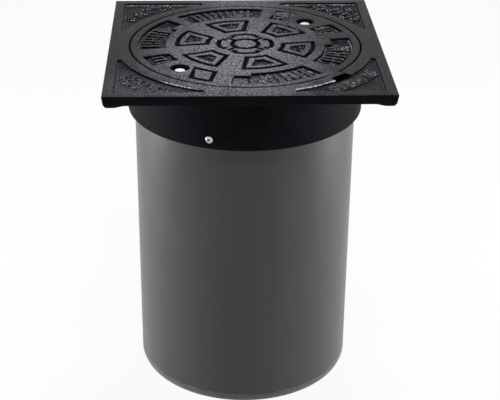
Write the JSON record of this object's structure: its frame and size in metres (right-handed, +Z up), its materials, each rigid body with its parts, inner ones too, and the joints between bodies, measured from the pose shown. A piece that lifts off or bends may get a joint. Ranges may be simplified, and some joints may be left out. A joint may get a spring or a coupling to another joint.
{
  "type": "water meter pit cover",
  "caption": "Square cast-iron frame with a round bolted lid and a pry slot, held by screws on a grey plastic riser pipe that it can be set to height on.",
  "frame": {"origin": "centre of the pipe's lower end", "axes": "+Z up along the pipe, +X to the right and +Y to the back as the picture shows it; the pry slot is at the front right"},
  "size_m": [0.382, 0.382, 0.5],
  "materials": {
    "iron": "sand-cast grey iron under black satin paint, rough on top and smoother on the collar",
    "plastic": "dark grey extruded PVC, satin, with faint lines along its length",
    "zinc": "bright zinc-plated steel"
  },
  "bodies": {
    "root": {"frame": "iron", "lid": "iron", "pipe": "plastic", "lid_bolts": "zinc", "bolt_washers": "zinc", "collar_screws": "zinc"}
  },
  "joints": []
}
